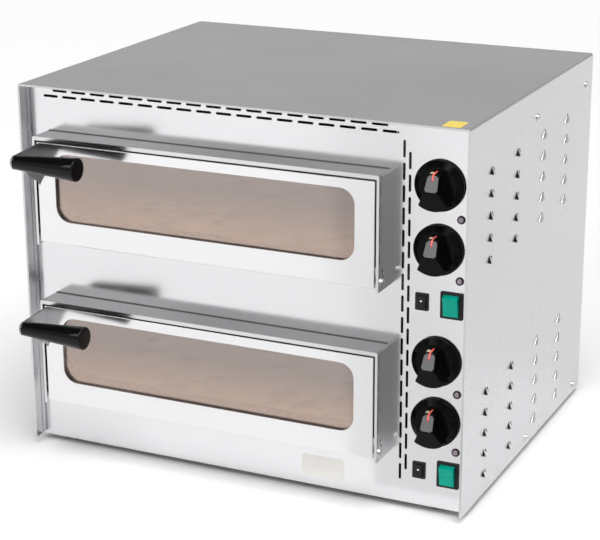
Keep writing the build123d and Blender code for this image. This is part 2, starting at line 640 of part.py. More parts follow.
for deck, floor in decks.items():
    for zone, height in knob_heights.items():
        knob_z = floor + height
        shaft_front = knob_foot - shaft_in_knob
        pointer_z, crest_z, tail_z = (knob_z + along for along in grip_along)
        tail_half = grip_plan[2] / 2
        tail_corner = knob_z - math.sqrt(tail_radius**2 - tail_half**2)
        with BuildPart() as knob:
            with BuildSketch(facing(knob_foot)):
                with BuildLine():
                    Polyline(
                        (knob_x + tail_half, tail_corner), (knob_x + grip_plan[1] / 2, crest_z),
                        (knob_x + grip_plan[0] / 2, pointer_z), (knob_x - grip_plan[0] / 2, pointer_z),
                        (knob_x - grip_plan[1] / 2, crest_z), (knob_x - tail_half, tail_corner),
                    )
                    ThreePointArc((knob_x - tail_half, tail_corner), (knob_x, knob_z - tail_radius),
                                  (knob_x + tail_half, tail_corner))
                make_face()
            extrude(amount=grip_profile[1])
            with BuildSketch(beside(knob_x - knob_skirt / 2)):
                with BuildLine():
                    Polyline(
                        (knob_foot, pointer_z), (knob_foot - grip_profile[0], pointer_z - 2 * grip_edge),
                        (knob_foot - grip_profile[1], crest_z), (knob_foot - grip_profile[2], knob_z - tail_radius),
                        (knob_foot, knob_z - tail_radius),
                        close=True,
                    )
                make_face()
            extrude(amount=knob_skirt, mode=Mode.INTERSECT)
            with BuildSketch(facing(knob_foot)):
                with Locations((knob_x, knob_z)):
                    Circle(knob_skirt / 2)
            extrude(amount=knob_rim)
            with BuildSketch(facing(knob_foot - knob_rim)):
                with Locations((knob_x, knob_z)):
                    Circle(knob_skirt / 2)
            with BuildSketch(facing(knob_foot - knob_height)):
                with Locations((knob_x, knob_z)):
                    Circle(knob_land / 2)
            loft()
            with BuildSketch(facing(knob_foot)):
                with Locations((knob_x, knob_z)):
                    Circle(shaft_diameter / 2 + face_gap)
            extrude(amount=shaft_in_knob + fit, mode=Mode.SUBTRACT)
        save(knob, f"{deck}_{zone}_knob")

        with BuildPart() as shaft:
            with BuildSketch(facing(shaft_front)):
                with Locations((knob_x, knob_z)):
                    Circle(shaft_diameter / 2)
            extrude(amount=shaft_front - shaft_end)
            chamfer(shaft.faces().sort_by(Axis.Y)[0].edges(), shaft_break)
        save(shaft, f"{deck}_{zone}_knob_shaft")

        with BuildPart() as thermostat:
            with BuildSketch(facing(thermostat_face)):
                with Locations((knob_x, knob_z)):
                    Rectangle(thermostat_body[0], thermostat_body[1])
            extrude(amount=-thermostat_body[2])
            fillet(thermostat.edges().filter_by(Axis.Y), thermostat_corner)
            with BuildSketch(facing(thermostat_face)):
                with Locations((knob_x, knob_z)):
                    Circle(bushing_diameter / 2)
            extrude(amount=thermostat_face - panel_front + fit)
            with BuildSketch(facing(panel_front - fit)):
                with Locations((knob_x, knob_z)):
                    Circle(shaft_diameter / 2 + running_fit)
            extrude(amount=panel_front - fit - shaft_end - fit, mode=Mode.SUBTRACT)
        save(thermostat, f"{deck}_{zone}_thermostat")

    for zone, height in pilot_heights.items():
        with BuildPart() as pilot:
            with BuildSketch(facing(panel_front)):
                with Locations((pilot_x, floor + height)):
                    Circle(pilot_flange[0] / 2)
            extrude(amount=pilot_flange[1])
            chamfer(pilot.faces().sort_by(Axis.Y)[0].edges(), head_break)
            with BuildSketch(facing(panel_front)):
                with Locations((pilot_x, floor + height)):
                    Circle(pilot_body[0] / 2)
            extrude(amount=-pilot_body[1])
        save(pilot, f"{deck}_{zone}_pilot_lamp")

    for name, rocker in (("main", main_rocker), ("lamp", small_rocker)):
        rocker_x = half_width - rocker["inset"]
        rocker_z = floor + rocker["height"]
        flange_front = panel_front - rocker["proud"]
        cavity = (rocker["body"][0] - 2 * rocker["cheek"], rocker["body"][1] - 2 * rocker["wall"])
        hinge_y = panel_front - rocker["pivot"]
        with BuildPart() as bezel:
            with BuildSketch(facing(flange_front)):
                with Locations((rocker_x, rocker_z)):
                    RectangleRounded(*rocker["flange"], bezel_corner)
            extrude(amount=-rocker["proud"])
            fillet(bezel.faces().sort_by(Axis.Y)[0].outer_wire().edges(), head_break)
            with BuildSketch(facing(panel_front)):
                with Locations((rocker_x, rocker_z)):
                    Rectangle(*rocker["body"])
            extrude(amount=-rocker["depth"])
            with BuildSketch(facing(flange_front)):
                with Locations((rocker_x, rocker_z)):
                    Rectangle(*cavity)
            extrude(amount=rocker["wall"] - rocker["depth"] - rocker["proud"], mode=Mode.SUBTRACT)
            with BuildSketch(beside(rocker_x - cavity[0] / 2 - rocker["cheek"] / 2)):
                with Locations((hinge_y, rocker_z)):
                    Circle(trunnion / 2 + running_fit)
            extrude(amount=cavity[0] + rocker["cheek"], mode=Mode.SUBTRACT)
        save(bezel, f"{deck}_{name}_switch_bezel")

        key_width = cavity[0] - 2 * fit
        tilt = math.radians(rocker["tilt"])
        key_plane = Plane(
            origin=(rocker_x - key_width / 2, hinge_y, rocker_z),
            x_dir=(0, math.cos(tilt), math.sin(tilt)),
            z_dir=(1, 0, 0),
        )
        half_chord = math.sqrt(rocker["swing"] ** 2 - rocker["chord"] ** 2)
        with BuildPart() as key:
            with BuildSketch(key_plane):
                with BuildLine():
                    ThreePointArc((-rocker["chord"], half_chord), (rocker["dish"] - rocker["chord"], 0),
                                  (-rocker["chord"], -half_chord))
                    ThreePointArc((-rocker["chord"], -half_chord), (rocker["swing"], 0),
                                  (-rocker["chord"], half_chord))
                make_face()
            extrude(amount=key_width)
            with BuildSketch(beside(rocker_x - key_width / 2 - rocker["cheek"] / 2)):
                with Locations((hinge_y, rocker_z)):
                    Circle(trunnion / 2)
            extrude(amount=key_width + rocker["cheek"])
        save(key, f"{deck}_{name}_switch_key")

# ================================================================ mains inlet
gland_z = base + gland_height
with BuildPart() as cable_gland:
    with BuildSketch(facing(casing_rear)):
        with Locations((gland_x, gland_z)):
            RegularPolygon(gland_hex[0] / 2, 6)
    extrude(amount=-gland_hex[1])
    with BuildSketch(facing(casing_rear + gland_hex[1])):
        with Locations((gland_x, gland_z)):
            Circle(gland_dome[0] / 2)
    extrude(amount=-gland_dome[1], taper=gland_taper)
    with BuildSketch(facing(casing_rear - sheet - gland_nut[1] - fit)):
        with Locations((gland_x, gland_z)):
            Circle(gland_thread / 2)
    extrude(amount=-(sheet + gland_nut[1] + fit))
    with BuildSketch(facing(casing_rear - sheet)):
        with Locations((gland_x, gland_z)):
            RegularPolygon(gland_nut[0] / 2, 6)
    extrude(amount=gland_nut[1])
    with BuildSketch(facing(casing_rear - sheet - gland_nut[1] - fit)):
        with Locations((gland_x, gland_z)):
            Circle(gland_bore / 2)
    extrude(amount=-(sheet + gland_nut[1] + fit + rear_reach), mode=Mode.SUBTRACT)
save(cable_gland, "cable_gland")

with BuildPart() as terminals:
    block_y = casing_rear - sheet - rear_space - terminal_block[1]
    with BuildSketch(Plane.XY.offset(base + sheet)):
        with Locations((knob_x, block_y)):
            Rectangle(terminal_block[0], terminal_block[1])
    extrude(amount=terminal_block[2])
    with BuildSketch(Plane.XY.offset(base + sheet + terminal_block[2])):
        with Locations((knob_x, block_y)):
            with GridLocations(terminal_block[0] / 4, terminal_block[1] / 2, 4, 2):
                Circle(terminal_hole[0] / 2)
    extrude(amount=-terminal_hole[1], mode=Mode.SUBTRACT)
save(terminals, "terminal_block")

# ================================================================ casing screws
with BuildPart() as casing_screws:
    for face, outward in ((-half_width, -1), (half_width, 1)):
        with BuildSketch(beside(face)):
            with Locations(side_screw_points):
                Circle(screw_head[0] / 2)
        extrude(amount=outward * screw_head[1], taper=screw_taper)
        with BuildSketch(beside(face)):
            with Locations(side_screw_points):
                Circle(screw_diameter / 2)
        extrude(amount=-outward * screw_length)
    flange_face = casing_rear + rear_flange_stand
    with BuildSketch(facing(flange_face)):
        with Locations(rear_screw_points):
            Circle(screw_head[0] / 2)
    extrude(amount=-screw_head[1], taper=screw_taper)
    with BuildSketch(facing(flange_face)):
        with Locations(rear_screw_points):
            Circle(screw_diameter / 2)
    extrude(amount=screw_length)
save(casing_screws, "casing_screws")
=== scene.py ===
import math

import bmesh
import bpy
from mathutils import Matrix, Vector
from mathutils.bvhtree import BVHTree


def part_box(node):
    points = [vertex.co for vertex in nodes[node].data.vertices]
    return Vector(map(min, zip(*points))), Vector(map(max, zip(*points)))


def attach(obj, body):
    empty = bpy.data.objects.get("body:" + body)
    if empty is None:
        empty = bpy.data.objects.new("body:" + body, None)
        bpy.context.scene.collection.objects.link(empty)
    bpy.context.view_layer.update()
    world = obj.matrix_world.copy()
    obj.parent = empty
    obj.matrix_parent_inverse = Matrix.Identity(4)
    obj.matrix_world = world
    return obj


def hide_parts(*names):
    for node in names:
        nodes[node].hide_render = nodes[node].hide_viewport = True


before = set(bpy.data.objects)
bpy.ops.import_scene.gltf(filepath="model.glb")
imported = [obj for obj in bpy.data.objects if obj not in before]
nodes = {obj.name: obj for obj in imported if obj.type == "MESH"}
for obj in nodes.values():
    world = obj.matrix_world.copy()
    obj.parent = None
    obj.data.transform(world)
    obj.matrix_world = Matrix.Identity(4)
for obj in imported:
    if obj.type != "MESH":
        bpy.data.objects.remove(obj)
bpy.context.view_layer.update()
decks = ("lower", "upper")
zones = ("floor", "roof")
mm = 0.001


def feed(tree, node, values):  # each value is a number or the socket that feeds it
    for socket, value in values.items():
        if isinstance(value, bpy.types.NodeSocket):
            tree.links.new(value, node.inputs[socket])
        else:
            node.inputs[socket].default_value = value


def addNode(tree, kind, values=None, **settings):
    node = tree.nodes.new(kind)
    for key, value in settings.items():
        setattr(node, key, value)
    feed(tree, node, values or {})
    return node


def maths(tree, operation, *values):
    return addNode(tree, "ShaderNodeMath", dict(enumerate(values)), operation=operation).outputs[0]


def vectorOf(tree, **parts):  # X, Y and Z, each a number or a socket
    return addNode(tree, "ShaderNodeCombineXYZ", parts).outputs[0]


def newPiece(name, mesh, material):
    piece = bpy.data.objects.new(name, mesh)
    bpy.context.scene.collection.objects.link(piece)
    if material:
        mesh.materials.clear()
        mesh.materials.append(material)
    return piece


def meshOf(work, name, smoothAngle=35.0):  # closes a bmesh into a smooth mesh with crisp edges
    mesh = bpy.data.meshes.new(name)
    work.to_mesh(mesh)
    work.free()
    mesh.shade_smooth()
    mesh.set_sharp_from_angle(angle=math.radians(smoothAngle))
    return mesh


def makePiece(work, name, material, body, smoothAngle=35.0):  # a finished bmesh, riding on a body
    bmesh.ops.recalc_face_normals(work, faces=work.faces)
    piece = newPiece(name, meshOf(work, name, smoothAngle), material)
    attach(piece, body)
    return piece


def weldedCopy(node):  # the node's loose triangles, joined into whole faces
    work = bmesh.new()
    work.from_mesh(nodes[node].data)
    bmesh.ops.remove_doubles(work, verts=work.verts, dist=0.002 * mm)
    bmesh.ops.dissolve_limit(work, angle_limit=math.radians(0.5), verts=work.verts, edges=work.edges)
    return work


def solidsOf(node):  # lowest and highest corner of each separate solid in a node
    work = bmesh.new()
    work.from_mesh(nodes[node].data)
    bmesh.ops.remove_doubles(work, verts=work.verts, dist=0.002 * mm)
    left, found = set(work.verts), []
    while left:
        group, front = [], [left.pop()]
        while front:
            vert = front.pop()
            group.append(vert.co.copy())
            for edge in vert.link_edges:
                other = edge.other_vert(vert)
                if other in left:
                    left.remove(other)
                    front.append(other)
        found.append((Vector([min(co[i] for co in group) for i in range(3)]),
                      Vector([max(co[i] for co in group) for i in range(3)])))
    work.free()
    return sorted(found, key=lambda pair: tuple(round(value, 4) for value in pair[0]))


def softened(node, name, width, material, body, segments=2, angle=38.0):  # CAD shape with its edges rounded
    mesh = meshOf(weldedCopy(node), name, angle)
    if "custom_normal" in mesh.attributes:
        mesh.attributes.remove(mesh.attributes["custom_normal"])
    piece = newPiece(name, mesh, material)
    bevel = piece.modifiers.new("edge rounding", "BEVEL")
    bevel.width = width * mm
    bevel.segments = segments
    bevel.limit_method = "ANGLE"
    bevel.angle_limit = math.radians(angle)
    bevel.harden_normals = True
    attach(piece, body)
    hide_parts(node)
    return piece


# camera
cameraView = dict(aim=(0.0143, -0.0459, 0.2194), azimuth=25.15, elevation=17.94, distance=2.1777, roll=-0.22,
                  lens=109.15, sensor=36.0)


def makeCamera(view):
    lens = bpy.data.cameras.new("camera")
    lens.lens = view["lens"]
    lens.sensor_width = view["sensor"]
    camera = bpy.data.objects.new("camera", lens)
    azimuth, elevation = math.radians(view["azimuth"]), math.radians(view["elevation"])
    level = math.cos(elevation)
    back = Vector((math.sin(azimuth) * level, -math.cos(azimuth) * level, math.sin(elevation)))
    camera.location = Vector(view["aim"]) + back * view["distance"]
    turn = (-back).to_track_quat("-Z", "Y").to_matrix() @ Matrix.Rotation(math.radians(view["roll"]), 3, "Z")
    camera.rotation_euler = turn.to_euler()
    bpy.context.scene.collection.objects.link(camera)
    bpy.context.scene.camera = camera


makeCamera(cameraView)

# studio
studio = dict(
    floorSize=14.0,
    floorShade=(0.9, 0.9, 0.9, 1.0),
    floorRough=0.9,
    skyLow=0.56,  # grey level near the horizon
    skyHigh=0.06,  # and overhead
    skyFade=(0.36, 0.62),  # heights between which one turns into the other, as the sine of the angle
    sunStrength=3.1,
    sunWidth=50.0,
    sunWay=(-0.3, 0.32, -1.0),
    keyPower=16.0,
    keySize=(1.5, 1.1),
    keyPlace=(-1.14, -2.45, 2.1),
    keyAim=(0, 0, 0.2),
)
reflectionCards = {  # grey level, then the corners of each card
    "floor card": (0.2, [(0.22, -0.33, 0.002), (1.35, -0.33, 0.002), (1.35, -2.2, 0.002),
                         (0.22, -2.2, 0.002)]),
    "front card": (0.82, [(0.15, -0.22, 0.001), (0.33, -0.22, 0.001), (-0.62, -2.2, 0.001),
                          (-0.78, -2.2, 0.001)]),
    "standing card": (0.42, [(-0.72, -1.25, 0.35), (-0.12, -1.25, 0.35), (-0.12, -1.25, 1.3),
                             (-0.5, -1.25, 1.3), (-0.72, -1.25, 0.95)]),
}


def newFinish(name):
    material = bpy.data.materials.new(name)
    material.use_nodes = True
    tree = material.node_tree
    return material, tree, tree.nodes["Principled BSDF"]


def flatPiece(name, corners, material):  # one face
    work = bmesh.new()
    work.faces.new([work.verts.new(corner) for corner in corners])
    mesh = bpy.data.meshes.new(name)
    work.to_mesh(mesh)
    work.free()
    piece = newPiece(name, mesh, material)
    return piece


def makeLight(name, kind, energy, towards, place=(0, 0, 0)):
    light = bpy.data.lights.new(name, kind)
    light.energy = energy
    lamp = bpy.data.objects.new(name, light)
    lamp.location = place
    lamp.rotation_euler = Vector(towards).to_track_quat("-Z", "Y").to_euler()
    bpy.context.scene.collection.objects.link(lamp)
    return lamp


def makeSky(look):
    world = bpy.data.worlds.new("studio")
    bpy.context.scene.world = world
    world.use_nodes = True
    tree = world.node_tree
    way = addNode(tree, "ShaderNodeTexCoord").outputs["Generated"]
    height = addNode(tree, "ShaderNodeSeparateXYZ", {0: way}).outputs["Z"]
    shade = addNode(tree, "ShaderNodeMapRange", {"Value": height, "From Min": look["skyFade"][0],
                                                 "From Max": look["skyFade"][1], "To Min": look["skyLow"],
                                                 "To Max": look["skyHigh"]}).outputs["Result"]
    feed(tree, tree.nodes["Background"], {"Color": shade})


def makeFloor(look):
    paper, tree, shader = newFinish("floor paper")
    feed(tree, shader, {"Base Color": look["floorShade"], "Roughness": look["floorRough"]})
    half = look["floorSize"] / 2
    flatPiece("floor", [(-half, -half, 0), (half, -half, 0), (half, half, 0), (-half, half, 0)], paper)


def makeCard(name, level, corners):  # only shows in reflections
    grey, tree, shader = newFinish(name)
    feed(tree, shader, {"Base Color": (0, 0, 0, 1), "Emission Color": (level, level, level, 1),
                        "Emission Strength": 1.0})
    card = flatPiece(name, corners, grey)
    card.visible_camera = card.visible_diffuse = card.visible_shadow = False


def makeStudio(look):
    makeSky(look)
    makeFloor(look)
    sun = makeLight("soft sky", "SUN", look["sunStrength"], look["sunWay"])
    sun.data.angle = math.radians(look["sunWidth"])
    key = makeLight("key", "AREA", look["keyPower"], Vector(look["keyAim"]) - Vector(look["keyPlace"]),
                    look["keyPlace"])
    key.data.shape = "RECTANGLE"
    key.data.size, key.data.size_y = look["keySize"]
    key.visible_camera = False
    for name, (level, corners) in reflectionCards.items():
        makeCard(name, level, corners)
    bpy.context.scene.view_settings.view_transform = "Standard"


makeStudio(studio)
print("studio: floor, camera and lights")


# finishes
def placeOf(tree):
    return addNode(tree, "ShaderNodeTexCoord").outputs["Object"]


def noiseOf(tree, place, scale, detail, rough=0.5):
    return addNode(tree, "ShaderNodeTexNoise", {"Vector": place, "Scale": scale, "Detail": detail,
                                                "Roughness": rough}).outputs["Fac"]


def spreadOf(tree, value, low, high, start=0.0, end=1.0):  # turns start..end into low..high
    return addNode(tree, "ShaderNodeMapRange", {"Value": value, "From Min": start, "From Max": end,
                                                "To Min": low, "To Max": high}).outputs["Result"]


def mixOf(tree, factor, first, second):  # two colours, each three numbers or a socket
    ends = [end if isinstance(end, bpy.types.NodeSocket) else (*end, 1.0) for end in (first, second)]
    return addNode(tree, "ShaderNodeMix", {"Factor": factor, "A": ends[0], "B": ends[1]},
                   data_type="RGBA").outputs["Result"]


def bumpOf(tree, height, strength, depth, under=None):  # depth in millimetres, laid over another bump
    values = {"Height": height, "Strength": strength, "Distance": depth * mm}
    if under:
        values["Normal"] = under
    return addNode(tree, "ShaderNodeBump", values).outputs["Normal"]


cloudSpan = (0.3, 0.7)  # what most of a noise's values lie between


def sheetSteel(name, colour, rough, grain, grainDepth=0.02, wave=0.25, tint=0.05):
    material, tree, shader = newFinish(name)  # rolled and brushed stainless
    place = placeOf(tree)
    along = addNode(tree, "ShaderNodeMapping", {"Vector": place, "Scale": grain}).outputs["Vector"]
    lines = noiseOf(tree, along, 1.0, 3.0)
    cloud = noiseOf(tree, place, 6.0, 5.0, 0.6)
    swell = bumpOf(tree, noiseOf(tree, place, 2.2, 1.0), wave, 2.0)
    dark = [channel * (1 - tint) for channel in colour]
    feed(tree, shader, {"Base Color": mixOf(tree, cloud, dark, colour), "Metallic": 1.0,
                        "Roughness": spreadOf(tree, cloud, *rough, *cloudSpan),
                        "Normal": bumpOf(tree, lines, grainDepth, 0.2, swell)})
    return material


def moulded(name, colour, rough, grain=900.0, depth=0.03, coat=0.0, gloss=0.5):  # plastic, rubber, thermoset
    material, tree, shader = newFinish(name)
    place = placeOf(tree)
    pores = noiseOf(tree, place, grain, 3.0)
    patch = noiseOf(tree, place, 60.0, 4.0)
    bright = [min(1.0, channel * 1.25 + 0.002) for channel in colour]
    feed(tree, shader, {"Base Color": mixOf(tree, patch, colour, bright),
                        "Roughness": spreadOf(tree, patch, *rough, *cloudSpan),
                        "Normal": bumpOf(tree, pores, depth, 0.05), "Specular IOR Level": gloss,
                        "Coat Weight": coat, "Coat Roughness": 0.06})
    return material


def heatTintedSteel(name, colour, tan):  # aluminised sheet that has been hot
    material, tree, shader = newFinish(name)
    place = placeOf(tree)
    cloud = noiseOf(tree, place, 9.0, 6.0)
    spangle = addNode(tree, "ShaderNodeTexVoronoi", {"Vector": place, "Scale": 160.0}).outputs["Color"]
    grey = addNode(tree, "ShaderNodeSeparateColor", {0: spangle}).outputs["Red"]
    feed(tree, shader, {"Base Color": mixOf(tree, cloud, colour, tan), "Metallic": 0.9,
                        "Roughness": spreadOf(tree, grey, 0.32, 0.5)})
    return material


def fireStone(name, colour, scorch):  # pressed cordierite with pores and scorch marks
    material, tree, shader = newFinish(name)
    place = placeOf(tree)
    marks = noiseOf(tree, place, 11.0, 6.0, 0.65)
    specks = noiseOf(tree, place, 420.0, 2.0)
    sand = mixOf(tree, specks, [channel * 0.8 for channel in colour], colour)
    burnt = spreadOf(tree, marks, 0.0, 1.0, 0.52, 0.74)
    feed(tree, shader, {"Base Color": mixOf(tree, burnt, sand, scorch), "Roughness": 0.88,
                        "Normal": bumpOf(tree, specks, 0.5, 0.3)})
    return material


def tintedGlass(name, colour, cover, rough=0.04, metal=1.0, warm=None, foot=0.0, pitch=1.0):
    material, tree, shader = newFinish(name)  # part mirror, part clear
    place = placeOf(tree)
    haze = noiseOf(tree, place, 14.0, 4.0)
    shade = mixOf(tree, haze, [channel * 0.94 for channel in colour], colour)
    if warm:  # warmer towards the foot of each deck's pane
        height = addNode(tree, "ShaderNodeSeparateXYZ", {"Vector": place}).outputs["Z"]
        onDeck = maths(tree, "MODULO", maths(tree, "SUBTRACT", height, foot), pitch)
        shade = mixOf(tree, spreadOf(tree, onDeck, 1.0, 0.0, 0.02, 0.065), shade, warm)
    feed(tree, shader, {"Base Color": shade, "Roughness": spreadOf(tree, haze, rough, rough * 2.5),
                        "Metallic": metal, "Alpha": cover})
    return material


# how the brushing runs, as the noise's scale along each axis
alongX = (5.0, 700.0, 700.0)
alongY = (500.0, 4.0, 500.0)
allWays = (60.0, 60.0, 60.0)
casingSteel = sheetSteel("satin casing steel", (0.63, 0.635, 0.645), (0.24, 0.3), alongY, 0.004, 0.08, 0.03)
frontSteel = sheetSteel("bright front steel", (0.765, 0.765, 0.78), (0.14, 0.2), alongX, 0.008)
surroundSteel = sheetSteel("bright folded steel", (0.68, 0.68, 0.69), (0.15, 0.19), alongX, 0.01)
doorSteel = sheetSteel("bright door steel", (0.82, 0.82, 0.83), (0.12, 0.18), alongX, 0.008)
bracketSteel = sheetSteel("satin bracket steel", (0.42, 0.42, 0.43), (0.16, 0.22), alongY, 0.01)
rimSteel = sheetSteel("window rim steel", (0.3, 0.3, 0.31), (0.2, 0.3), alongX, 0.01)
screwSteel = sheetSteel("zinc plated steel", (0.78, 0.78, 0.77), (0.14, 0.24), allWays, 0.02)
zincSteel = sheetSteel("galvanised steel", (0.55, 0.57, 0.58), (0.3, 0.48), allWays, 0.04, tint=0.18)
linerSteel = heatTintedSteel("heat tinted liner", (0.56, 0.53, 0.49), (0.4, 0.32, 0.24))
sheathMetal = heatTintedSteel("dark heater sheath", (0.09, 0.085, 0.08), (0.16, 0.13, 0.11))
stoneFinish = fireStone("baking stone", (0.66, 0.54, 0.4), (0.24, 0.16, 0.1))
woolFinish = fireStone("mineral wool", (0.7, 0.64, 0.42), (0.55, 0.48, 0.3))
ceramicFinish = fireStone("steatite block", (0.86, 0.83, 0.76), (0.8, 0.76, 0.68))
footRubber = moulded("foot rubber", (0.02, 0.02, 0.02), (0.6, 0.8), depth=0.2)
knobBlack = moulded("knob thermoset", (0.0015, 0.0015, 0.0015), (0.14, 0.2), depth=0.008, gloss=0.08)
# painted reflection: grey standing in for the surroundings mirrored in the knob's glossy black pointer facet
facetReflectionGrey = moulded("painted reflection on pointer facet", (0.1, 0.1, 0.1), (0.36, 0.46), grain=1400.0, depth=0.05)
gripBlack = moulded("grip thermoset", (0.0015, 0.0015, 0.0015), (0.06, 0.1), depth=0.004, gloss=0.22)
switchBlack = moulded("switch frame plastic", (0.01, 0.01, 0.011), (0.28, 0.4), gloss=0.25)
nylonBlack = moulded("gland nylon", (0.02, 0.02, 0.02), (0.45, 0.6), depth=0.1)
caseCream = moulded("thermostat case", (0.7, 0.67, 0.6), (0.5, 0.65))
switchGreen = moulded("green key plastic", (0.0, 0.31, 0.225), (0.22, 0.32), gloss=0.15)
pointerRed = moulded("pointer red", (0.85, 0.12, 0.1), (0.35, 0.45))
# painted reflection: beige standing in for a warm reflection on the knob bar's end wall
paintedBeigeReflection = moulded("painted beige reflection", (0.5, 0.4, 0.28), (0.45, 0.6))
# painted shadow: dark grey for the shaded gap above each door surround
seamShadowGrey = moulded("painted seam shadow", (0.09, 0.09, 0.09), (0.5, 0.7), depth=0.05)
markWhite = moulded("mark white", (0.85, 0.85, 0.83), (0.4, 0.5))
labelYellow = moulded("blank yellow label", (0.8, 0.6, 0.08), (0.3, 0.4), depth=0.01)
labelPale = moulded("blank pale label", (0.8, 0.78, 0.74), (0.3, 0.4), depth=0.01)
lensSmoke = moulded("smoked lens", (0.3, 0.24, 0.28), (0.1, 0.16), coat=0.5)
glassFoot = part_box("lower_door_glass")[0].z
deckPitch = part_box("upper_door_glass")[0].z - glassFoot
doorGlass = tintedGlass("tinted door glass", (0.75, 0.64, 0.6), 0.3, warm=(0.92, 0.72, 0.62), foot=glassFoot,
                        pitch=deckPitch)
lampGlass = tintedGlass("lamp glass", (0.9, 0.9, 0.88), 0.25, metal=0.0)

finishOfNode = {
    "outer_casing": casingSteel, "front_panel": frontSteel, "rear_panel": casingSteel, "base_tray": zincSteel,
    "control_partition": zincSteel, "insulation_jackets": woolFinish, "terminal_block": ceramicFinish,
    "rubber_feet": footRubber, "cable_gland": nylonBlack, "casing_screws": screwSteel,
    "chamber_liner": linerSteel, "baking_stone": stoneFinish, "floor_element": sheathMetal,
    "roof_element": sheathMetal, "chamber_lamp": lampGlass, "door_surround": surroundSteel,
    "hinge_pins": screwSteel, "door_skin": doorSteel, "door_inner_panel": linerSteel, "door_glass": doorGlass,
    "handle_bracket": bracketSteel, "handle_grip": gripBlack, "door_fixings": screwSteel, "knob": knobBlack,
    "knob_shaft": screwSteel, "thermostat": caseCream, "pilot_lamp": lensSmoke,
    "main_switch_bezel": switchBlack, "lamp_switch_bezel": switchBlack,
    "main_switch_key": switchGreen, "lamp_switch_key": switchBlack,
}
for name, node in nodes.items():
    kind = max((ending for ending in finishOfNode if name.endswith(ending)), key=len)
    node.data.materials.clear()
    node.data.materials.append(finishOfNode[kind])
print("finishes:", len(bpy.data.materials))


# plain shapes
def prism(work, corners, direction):  # a flat outline pushed along a direction
    base = [work.verts.new(corner) for corner in corners]
    far = [work.verts.new(Vector(corner) + Vector(direction)) for corner in corners]
    work.faces.new(base)
    work.faces.new(list(reversed(far)))
    for i, vert in enumerate(base):
        j = (i + 1) % len(base)
        work.faces.new([base[j], vert, far[i], far[j]])
    bmesh.ops.recalc_face_normals(work, faces=work.faces)


def roundUprights(work, out, radius):  # rounds the corners of a plate that is thin along out
    uprights = [edge for edge in work.edges
                if abs((edge.verts[0].co - edge.verts[1].co).normalized().dot(Vector(out))) > 0.9]
    bmesh.ops.bevel(work, geom=uprights, offset=radius * mm, segments=4, affect="EDGES")


def lathe(work, profile, centre, axis, steps):  # profile is pairs of length along the axis and radius
    axis = Vector(axis)
    side = Vector((0, 0, 1))
    third = axis.cross(side)
    rings = []
    for along, radius in profile:
        middle = Vector(centre) + axis * along
        if radius == 0:
            rings.append([work.verts.new(middle)])
            continue
        turns = [2 * math.pi * i / steps for i in range(steps)]
        spokes = [side * math.cos(turn) + third * math.sin(turn) for turn in turns]
        rings.append([work.verts.new(middle + spoke * radius) for spoke in spokes])
    for near, far in zip(rings, rings[1:]):
        for i in range(steps):
            j = (i + 1) % steps
            loop = [near[i % len(near)], near[j % len(near)], far[j % len(far)], far[i % len(far)]]
            loop = list(dict.fromkeys(loop))  # three corners at a closed end
            if len(loop) > 2:
                work.faces.new(loop)
    bmesh.ops.recalc_face_normals(work, faces=work.faces)


def blankLabel(name, corners, out, material, look):  # a printed sticker with nothing on it
    work = bmesh.new()
    prism(work, corners, Vector(out) * look["thick"] * mm)
    roundUprights(work, out, look["cornerRound"])
    makePiece(work, name, material, "root")


# door grips: a tapered thermoset handle with rounded ends
gripShape = dict(endRound=1.6, recess=4.2, steps=64, bracketEdge=0.35)


def makeGrip(deck, look):
    low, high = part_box(f"{deck}_handle_grip")
    middle = (low + high) / 2
    large = (high.z - low.z) / 2
    small = middle.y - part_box(f"{deck}_handle_bracket")[0].y
    length = high.x - low.x
    soft = look["endRound"] * mm
    arc = [math.radians(angle) for angle in (18, 36, 54, 72, 90)]
    profile = [(0.0, look["recess"] * mm), (0.0, small - soft)]
    profile += [(soft * (1 - math.cos(turn)), small - soft * (1 - math.sin(turn))) for turn in arc]
    profile += [(length * part, small + (large - small) * part) for part in (0.25, 0.5, 0.75)]
    arc = [0.0] + arc
    profile += [(length - soft * (1 - math.sin(turn)), large - soft * (1 - math.cos(turn))) for turn in arc]
    profile += [(length, 0.0)]
    work = bmesh.new()
    lathe(work, profile, (low.x, middle.y, middle.z), (1, 0, 0), look["steps"])
    grip = makePiece(work, f"{deck}_grip", gripBlack, f"{deck}_door", 40.0)
    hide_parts(f"{deck}_handle_grip")
    softened(f"{deck}_handle_bracket", f"{deck}_bracket_plate", look["bracketEdge"], bracketSteel,
             f"{deck}_door")


for deck in decks:
    makeGrip(deck, gripShape)
print("grips and brackets")

# knobs: a grey painted reflection on the raised bar's end facet, a red line down it to a small hollow, and a
# beige painted reflection beside it
knobLook = dict(edge=0.7, barBack=18.0, margin=0.7, facetSink=0.2, facetThick=0.3, facetRound=1.6,
                lineWidth=1.8, lineThick=0.3, lineSpan=(-1.6, 1.0), lineReach=7.6, skirt=8.0, rootRise=1.4,
                hollow=1.4, reflectionSide=(-5.2, -1.4), reflectionSpan=(0.35, 0.75))


# lays the grey painted reflection plate on the bar's end facet
def makeFacet(node, look, middle, tip, crest, down, faceOut):
    margin = look["margin"] * mm
    upper, lower = tip + down * margin, crest - down * margin
    upperHalf, lowerHalf = abs(tip.x - middle) - margin, abs(crest.x - middle) - margin
    corners = [(middle - upperHalf, upper.y, upper.z), (middle + upperHalf, upper.y, upper.z),
               (middle + lowerHalf, lower.y, lower.z), (middle - lowerHalf, lower.y, lower.z)]
    work = bmesh.new()
    sunk = [Vector(corner) - faceOut * look["facetSink"] * mm for corner in corners]
    prism(work, sunk, faceOut * look["facetThick"] * mm)
    roundUprights(work, faceOut, look["facetRound"])
    makePiece(work, f"{node}_facet", facetReflectionGrey, node)


